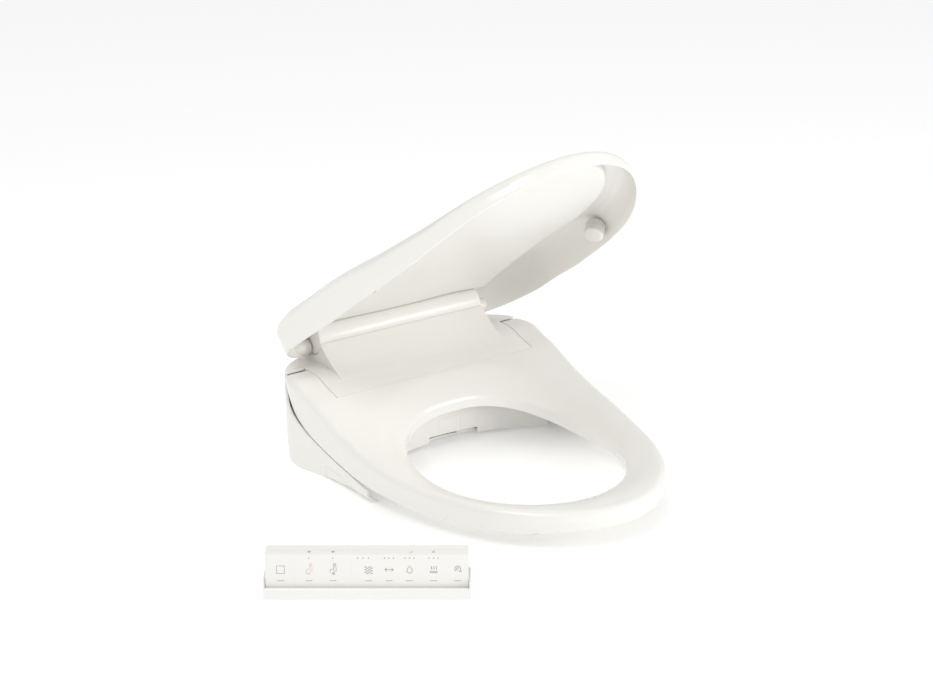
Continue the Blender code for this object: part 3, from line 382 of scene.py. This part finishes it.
def make_seat():
    """Seat ring with soft edges and its two arms."""
    outer = plan_loop(0.0, ARM_END_Y, (44, 16, 5, 8))
    hole = hole_loop(outer)

    def top(loop, drop):
        return [Vector((p.x, p.y, seat_height(p, hole[i]) - drop)) for i, p in enumerate(loop)]

    def wall(loop, share, drop=0.0):
        """Between the top edge at share 0 and the skirt's foot at share 1."""
        ring = []
        for i, p in enumerate(loop):
            high = seat_height(outer[i], hole[i]) - 8.0
            low = along(SKIRT_FOOT, outer[i].y)
            ring.append(Vector((p.x, p.y, high + (low - high) * share - drop)))
        return ring

    rings = [[Vector((p.x, p.y, hole_height(q.y) - 14.0)) for p, q in zip(inset(hole, -3.0), hole)]]
    rings += [[Vector((p.x, p.y, hole_height(p.y) - fall)) for p in hole] for fall in (14.0, 9.0)]
    for n in range(7):
        a = math.radians(15 * n)
        rings.append(top(inset(hole, -4.5 * (1 - math.cos(a))), 4.5 * (1 - math.sin(a))))
    inner, outside = inset(hole, -4.5), inset(outer, 10.0)
    for n in range(1, 14):
        rings.append(top([p.lerp(q, n / 14) for p, q in zip(inner, outside)], 0.0))
    for n in range(9):
        a = math.radians(90 * n / 8)
        rings.append(top(inset(outer, 10.0 * (1 - math.sin(a))), 8.0 * (1 - math.cos(a))))
    for n in range(1, 9):
        share = n / 8
        rings.append(wall(inset(outer, 4.2 * share**1.7), share * 0.97))
    rings += [wall(inset(outer, distance), share, drop)
              for distance, share, drop in ((4.8, 1.0, -0.2), (6.0, 1.0, 0.1), (7.4, 1.0, -0.4),
                                            (8.0, 0.9, 0.0), (9.6, 0.15, 0.0))]
    for n in range(6, -1, -1):
        rings.append(top([p.lerp(q, (n + 0.3) / 7) for p, q in zip(inner, outside)], 3.2))
    room = block((2 * COVER_HALF + 2.2, 90.0, 140.0), (0, COVER_FRONT - 0.5 + 45.0, 90.0))
    piece("seat_ring", loft(rings, closed=True), FINISH["seat_plastic"], "seat", ("seat_top_shell",),
          rooms=[room], crease=32.0)


# ---------------------------------------------------------------- lid


def make_lid():
    """Lid shell with a soft rim, its liner, two hinge bosses and two buffers."""
    turn = Matrix.Translation(LID_AXIS) @ Matrix.Rotation(LID_OPEN, 4, "X") @ Matrix.Translation(-LID_AXIS)
    outline = plan_loop(2.0, CORNER_Y + CORNER_RADIUS + 2.0, (40, 12, 20, 10))

    def crowned(scale, drop):
        ring = []
        for p in outline:
            q = LID_CENTRE + (p - LID_CENTRE) * scale
            fall = along(LID_CROWN, p.y) - along(LID_EDGE, p.y)
            ring.append(Vector((q.x, q.y, along(LID_CROWN, q.y) - fall * scale**5 - drop)))
        return ring

    def level(distance, share, drop=0.0):
        """Ring between the lid's top edge at share 0 and its rim at share 1."""
        ring = []
        for p, q in zip(outline, inset(outline, distance)):
            high, low = along(LID_EDGE, p.y), along(LID_RIM, p.y)
            ring.append(Vector((q.x, q.y, high + (low - high) * share - drop)))
        return ring

    rings = [crowned(s, 0.0) for s in (0.1, 0.2, 0.3, 0.4, 0.5, 0.6, 0.7, 0.78, 0.85, 0.9, 0.94)]
    for n in range(1, 8):
        a = math.radians(90 * n / 7)
        rings.append(level(7.0 * (1 - math.sin(a)), 0.0, 8.0 * (1 - math.cos(a)) - 0.6 * (1 - n / 7)))
    rings += [level(-0.3 * math.sin(math.pi * s), s + (1 - s) * 0.3) for s in (0.15, 0.4, 0.7)]
    rings += [level(0.0, 1.0, -1.4), level(0.5, 1.0, -0.3), level(1.6, 1.0, 0.0), level(2.8, 1.0, -0.3),
              level(3.3, 1.0, -1.4)]
    ceiling = crowned(0.885, LID_WALL)
    rim = level(LID_WALL, 1.0, -3.0)
    for n in range(1, 9):
        a = math.radians(90 * n / 8)
        ring = []
        for p, q in zip(rim, ceiling):
            flat = p.lerp(q, 1 - math.cos(a))
            ring.append(Vector((flat.x, flat.y, p.z + (q.z - p.z) * math.sin(a) ** 0.8)))
        rings.append(ring)
    rings += [crowned(s, LID_WALL) for s in (0.84, 0.78, 0.7, 0.6, 0.5, 0.4, 0.3, 0.2, 0.1)]
    crown = along(LID_CROWN, LID_CENTRE.y)
    poles = [Vector((0, LID_CENTRE.y, crown)), Vector((0, LID_CENTRE.y, crown - LID_WALL))]
    axis = Matrix.Translation((0, LID_AXIS.y, LID_AXIS.z))
    length = 2 * HUMP_HALF + 2.2
    swing = lathe([(-length / 2, HUMP_RADIUS + 2.6), (length / 2, HUMP_RADIUS + 2.6)], 72)
    swing.transform(axis)
    slot = block((length, 60, 90), (0, LID_AXIS.y + 34, LID_AXIS.z - 10))
    piece("lid_panel", loft(rings, poles=poles), FINISH["lid_plastic"], "lid", ("lid_shell",), turn,
          rooms=[swing, slot], crease=40.0)

    edge = [Vector((p.x * LINER_WIDTH, p.y * LINER_LENGTH + 2.5)) for p in outline]
    panel = []
    steps = [(s, -1.0) for s in (0.2, 0.5, 0.8, 1.02)]
    steps += [(1.015, -4.0), (1.01, -7.0), (1.003, -8.6), (0.99, -9.8), (0.97, -10.5), (0.94, -10.9),
              (0.88, -11.2), (0.8, -11.4), (0.65, -11.6), (0.5, -11.8), (0.35, -12.0), (0.2, -12.1),
              (0.1, -12.1)]
    for scale, fall in steps:
        ring = []
        for p, out in zip(edge, outline):
            q = LID_CENTRE + (p - LID_CENTRE) * scale
            share = scale * (p - LID_CENTRE).length / (out - LID_CENTRE).length
            drop = along(LID_CROWN, out.y) - along(LID_EDGE, out.y)
            ring.append(Vector((q.x, q.y, along(LID_CROWN, q.y) - drop * share**5 - LID_WALL + fall)))
        panel.append(ring)
    poles = [Vector((0, LID_CENTRE.y, crown - 4.4)), Vector((0, LID_CENTRE.y, crown - 15.5))]
    rear = block((420, 80, 120), (0, LID_AXIS.y + 43, LID_AXIS.z))
    sweep = lathe([(-200, HUMP_RADIUS + 1.2), (200, HUMP_RADIUS + 1.2)], 96)
    sweep.transform(axis)
    piece("lid_inner_panel", loft(panel, poles=poles), FINISH["lid_liner_plastic"], "lid", ("lid_liner",),
          turn, rooms=[rear, sweep], crease=50.0)

    for name, side in (("left", -1), ("right", 1)):
        profile = [(-14.0, 0), (-14.0, BOSS_RADIUS - 0.6), (-13.4, BOSS_RADIUS)]
        profile += [(-2.0 + 16.0 * math.sin(math.radians(a)), BOSS_RADIUS * math.cos(math.radians(a)))
                    for a in range(0, 90, 10)]
        profile.append((14.0, 0))
        boss = lathe([(x + 0.6, r) for x, r in profile], 48)
        boss.transform(Matrix.Translation((side * BOSS_X, *BOSS_CENTRE)) @ Matrix.Scale(side, 4, (1, 0, 0)))
        bmesh.ops.recalc_face_normals(boss, faces=boss.faces[:])
        piece(f"lid_boss_{name}", boss, FINISH["lid_plastic"], "lid", (f"lid_hinge_boss_{name}",),
              crease=60.0)

        profile = [(0, 0), (0, 9.8), (0.5, 11.2), (1.8, 12.4)]
        for n in range(9):
            profile += [(2.6 + 2 * n, 12.9), (3.6 + 2 * n, 11.6)]
        profile += [(20.6, 10.5), (BUMPER_LENGTH, 10.5), (BUMPER_LENGTH, 0)]
        buffer = lathe(profile, 56)
        buffer.transform(Matrix.Translation((side * BUMPER_X, BUMPER_Y, BUMPER_Z))
                         @ Matrix.Rotation(side * -BUMPER_TILT, 4, "Y")
                         @ Matrix.Rotation(math.radians(-90), 4, "Y"))
        piece(f"lid_bumper_{name}", buffer, FINISH["buffer_rubber"], "lid", (f"lid_buffer_{name}",), turn,
              crease=70.0)


# ---------------------------------------------------------------- casing


def make_casing():
    """Fine versions of the casing's parts, and one round cover for the hinge housing and the lid's drive."""
    refined("top_cover", 0.9)
    for node, width in (("side_panel_left", 0.5), ("side_panel_right", 0.5), ("rear_panel", 0.5),
                        ("front_wall", 0.12), ("dryer_grille", 0.2), ("drain_cover", 0.4),
                        ("release_button", 0.5)):
        refined(node, width)
    refined("nozzle_shutter", 0.05, swell=0.6)
    profile = [(-HUMP_HALF, 0), (-HUMP_HALF, 18.2)]
    profile += [(-HUMP_HALF + 1.8 * (1 - math.cos(math.radians(a))), 18.2 + 1.8 * math.sin(math.radians(a)))
                for a in (30, 60, 90)]
    profile += [(-x, r) for x, r in reversed(profile)]
    hump = lathe(profile, 96)
    hump.transform(Matrix.Translation(LID_AXIS))
    piece("hinge_cover", hump, FINISH["casing"], "root", ("hinge_housing", "lid_drive"), crease=50.0)


# ---------------------------------------------------------------- remote control


REMOTE = Matrix.Translation(REMOTE_PLACE) @ Matrix.Rotation(REMOTE_TURN, 4, "Z")
FACE = Matrix((Vector((1, 0, 0)), FACE_ALONG, FACE_OUT)).transposed().to_4x4()
FACE_FRAME = REMOTE @ Matrix.Translation(FACE_FOOT.lerp(FACE_HEAD, 0.62)) @ FACE


def print_mark(name, strokes, body, matrix, finish=None, width=0.55, lift=0.1, stands_for=()):
    """Printed mark, or a stripe of painted shade: flat ribbons along polylines in a face's own plane."""
    bm = bmesh.new()
    for points in strokes:
        points = [Vector(p) for p in points]
        ends = []
        for i, p in enumerate(points):
            ahead = points[min(i + 1, len(points) - 1)] - points[max(i - 1, 0)]
            if points[0] == points[-1] and i in (0, len(points) - 1):
                ahead = points[1] - points[-2]
            side = Vector((-ahead.y, ahead.x)).normalized() * width / 2
            ends.append([bm.verts.new((*(p + side), lift)), bm.verts.new((*(p - side), lift)),
                         bm.verts.new((*(p - side), -0.1)), bm.verts.new((*(p + side), -0.1))])
        for a, b in zip(ends, ends[1:]):
            for i in range(4):
                bm.faces.new((a[i], a[(i + 1) % 4], b[(i + 1) % 4], b[i]))
        bm.faces.new(ends[0])
        bm.faces.new(ends[-1])
    bmesh.ops.recalc_face_normals(bm, faces=bm.faces[:])
    return piece(name, bm, finish or INK, body, stands_for, matrix)


def ring(x, y, radius, start=0, end=360, count=14):
    """Polyline round a circle."""
    angles = [math.radians(start + (end - start) * n / count) for n in range(count + 1)]
    return [(x + radius * math.cos(a), y + radius * math.sin(a)) for a in angles]


def wave(x, y, length, height, turns=2):
    """Polyline of a small wave."""
    return [(x + length * n / 16 - length / 2, y + height * math.sin(2 * math.pi * turns * n / 16))
            for n in range(17)]


def square(x, y, half):
    """Closed square polyline."""
    return [(x - half, y - half), (x + half, y - half), (x + half, y + half), (x - half, y + half),
            (x - half, y - half)]


def marks():
    """Strokes of each face key's pictogram."""
    sitter = [ring(1.4, 4.4, 1.1), [(0.9, 3.0), (0.4, 0.2), (-2.2, 0.2), (-2.6, -2.6)],
              [(2.6, 2.4), (2.8, -1.2), (0.6, -1.4)]]
    return {
        "key_stop": [square(0, 0, 3.4)],
        "key_front": sitter + [wave(-0.5, -3.6, 4.0, 0.5)],
        "key_rear": sitter + [[(0.4, -4.6), (0.4, -2.4)], [(-0.8, -4.4), (-0.2, -2.6)],
                              [(1.6, -4.4), (1.0, -2.6)]],
        "key_massage": [wave(0, 2.0, 7.0, 1.0), wave(0, -0.4, 7.0, 1.0), wave(0, -2.8, 7.0, 1.0)],
        "key_position": [[(-3.6, 0), (3.6, 0)], [(-2.0, 1.6), (-3.6, 0), (-2.0, -1.6)],
                         [(2.0, 1.6), (3.6, 0), (2.0, -1.6)]],
        "key_water_heat": [[(0, 3.8), (-2.0, 0.4)] + ring(0, -0.8, 2.3, 150, 390) + [(2.0, 0.4), (0, 3.8)]],
        "key_seat_heat": [[(-3.4, -2.6), (3.2, -2.6), (3.2, -1.4), (-3.4, -1.4)], wave(-1.8, 1.4, 0.1, 0.1),
                          [(-1.8, 0.2), (-1.3, 1.2), (-2.0, 2.2), (-1.5, 3.4)],
                          [(0.2, 0.2), (0.7, 1.2), (0, 2.2), (0.5, 3.4)],
                          [(2.2, 0.2), (2.7, 1.2), (2.0, 2.2), (2.5, 3.4)]],
        "key_dryer": [ring(0, 0.8, 2.6, -60, 240), ring(0, 0.8, 1.1, 0, 300), [(1.3, -1.5), (3.6, -1.5)]],
    }


def make_remote():
    """Handset and holder. Printed pictograms stand for the twelve keys, and dashes for captions."""
    for node, width in (("handset_back", 0.7), ("remote_holder", 0.5), ("battery_cover", 0.25)):
        refined(node, width, flat=True)
    shell = prism([(6, 7), (12, 49), (12.6, 50.1), (14, 50.5), (23.8, 51.3), (23.8, 7)],
                  -HANDSET_HALF, HANDSET_HALF)
    piece("handset_face", shell, FINISH["remote_plastic"], "handset", ("handset_front",), REMOTE,
          round_by=0.5, flat=True)
    for node, strokes in marks().items():
        low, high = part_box(node)
        middle = (Vector(low) + Vector(high)) / 2 / MM
        flat = FACE_FRAME.inverted() @ middle
        spot = FACE_FRAME @ Matrix.Translation((flat.x, 0.0, 0.0))
        strokes = [[(x * MARK_SCALE, y * MARK_SCALE) for x, y in stroke] for stroke in strokes]
        print_mark(node + "_mark", strokes, BODIES[node], spot, INK_ROSE if node == "key_front" else INK,
                   stands_for=(node,))
        caption = [[(x, CAPTION_DROP), (x + 1.0, CAPTION_DROP)] for x in (-3.8, -2.2, -0.6, 1.0, 2.6)]
        print_mark(node + "_caption", caption, BODIES[node], spot, width=0.7)
    for number, x in enumerate(LAMP_PLACES):
        spot = FACE_FRAME @ Matrix.Translation((x, LAMP_ROW, 0.0))
        print_mark(f"lamp_{number}", [ring(0, 0, 0.35, count=10)], "handset", spot, LAMP, 0.6, 0.12)
    # Painted groove shade: flat stripes in the rubber's darker grey, laid where the face has grooves, stand in
    # for the shade inside them.
    for number, x in enumerate(PAINTED_GROOVE_SHADE_PLACES):
        spot = FACE_FRAME @ Matrix.Translation((x, -4.0, -0.02))
        print_mark(f"groove_{number}", [[(0, -17), (0, 15)]], "handset", spot, FINISH["buffer_rubber"],
                   0.35, 0.05)
    small = {"key_clean_front": [ring(0, 0, 1.5), [(0, -1.0), (0, 1.0)]],
             "key_clean_rear": [ring(0, 0, 1.5), [(-1.0, 0), (1.0, 0)]],
             "key_lid_up": [[(-1.8, -1.2), (1.8, -1.2), (2.2, 1.4)]],
             "key_seat_up": [[(-1.8, -1.2), (1.8, -1.2)], [(-1.8, -0.2), (1.6, 1.6)]]}
    for node, strokes in small.items():
        low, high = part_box(node)
        middle = (Vector(low) + Vector(high)) / 2 / MM
        spot = (Matrix.Translation((middle.x, middle.y, middle.z + 0.55))
                @ Matrix.Rotation(REMOTE_TURN, 4, "Z") @ Matrix.Rotation(math.radians(4.67), 4, "X"))
        print_mark(node + "_mark", strokes, BODIES[node], spot, width=0.5, stands_for=(node,))


# ---------------------------------------------------------------- room, light and camera


def make_studio():
    """Pale floor, one soft light from above on the left and one from the front right, and the camera."""
    bm = bmesh.new()
    bmesh.ops.create_grid(bm, x_segments=8, y_segments=8, size=FLOOR_SIZE)
    data = bpy.data.meshes.new("floor")
    bm.to_mesh(data)
    bm.free()
    floor = bpy.data.objects.new("floor", data)
    floor.data.materials.append(FLOOR)
    bpy.context.scene.collection.objects.link(floor)

    bpy.context.scene.view_settings.view_transform = "Standard"
    world = bpy.data.worlds.new("studio")
    bpy.context.scene.world = world
    world.use_nodes = True
    sky = world.node_tree.nodes["Background"]
    sky.inputs["Color"].default_value = (1.0, 1.0, 1.0, 1.0)
    sky.inputs["Strength"].default_value = SKY_STRENGTH

    def lamp(name, spot, aim, size, power):
        light = bpy.data.lights.new(name, "AREA")
        light.shape = "RECTANGLE"
        light.size, light.size_y = size
        light.energy = power
        obj = bpy.data.objects.new(name, light)
        obj.location = spot
        obj.rotation_euler = (Vector(aim) - Vector(spot)).to_track_quat("-Z", "Y").to_euler()
        bpy.context.scene.collection.objects.link(obj)

    lamp("key_light", KEY_PLACE, KEY_AIM, KEY_SIZE, KEY_POWER)
    lamp("front_fill", FILL_PLACE, FILL_AIM, FILL_SIZE, FILL_POWER)

    lens = bpy.data.cameras.new("camera")
    lens.lens = CAMERA_LENS
    lens.sensor_width = CAMERA_SENSOR
    camera = bpy.data.objects.new("camera", lens)
    camera.location = CAMERA_PLACE * MM
    target = CAMERA_AIM * MM
    camera.rotation_euler = (target - camera.location).to_track_quat("-Z", "Y").to_euler()
    bpy.context.scene.collection.objects.link(camera)
    bpy.context.scene.camera = camera


for node, obj in NODES.items():
    obj.data.materials.clear()
    obj.data.materials.append(FINISH[SLOTS[node]])
make_seat()
make_lid()
make_casing()
make_remote()
make_studio()
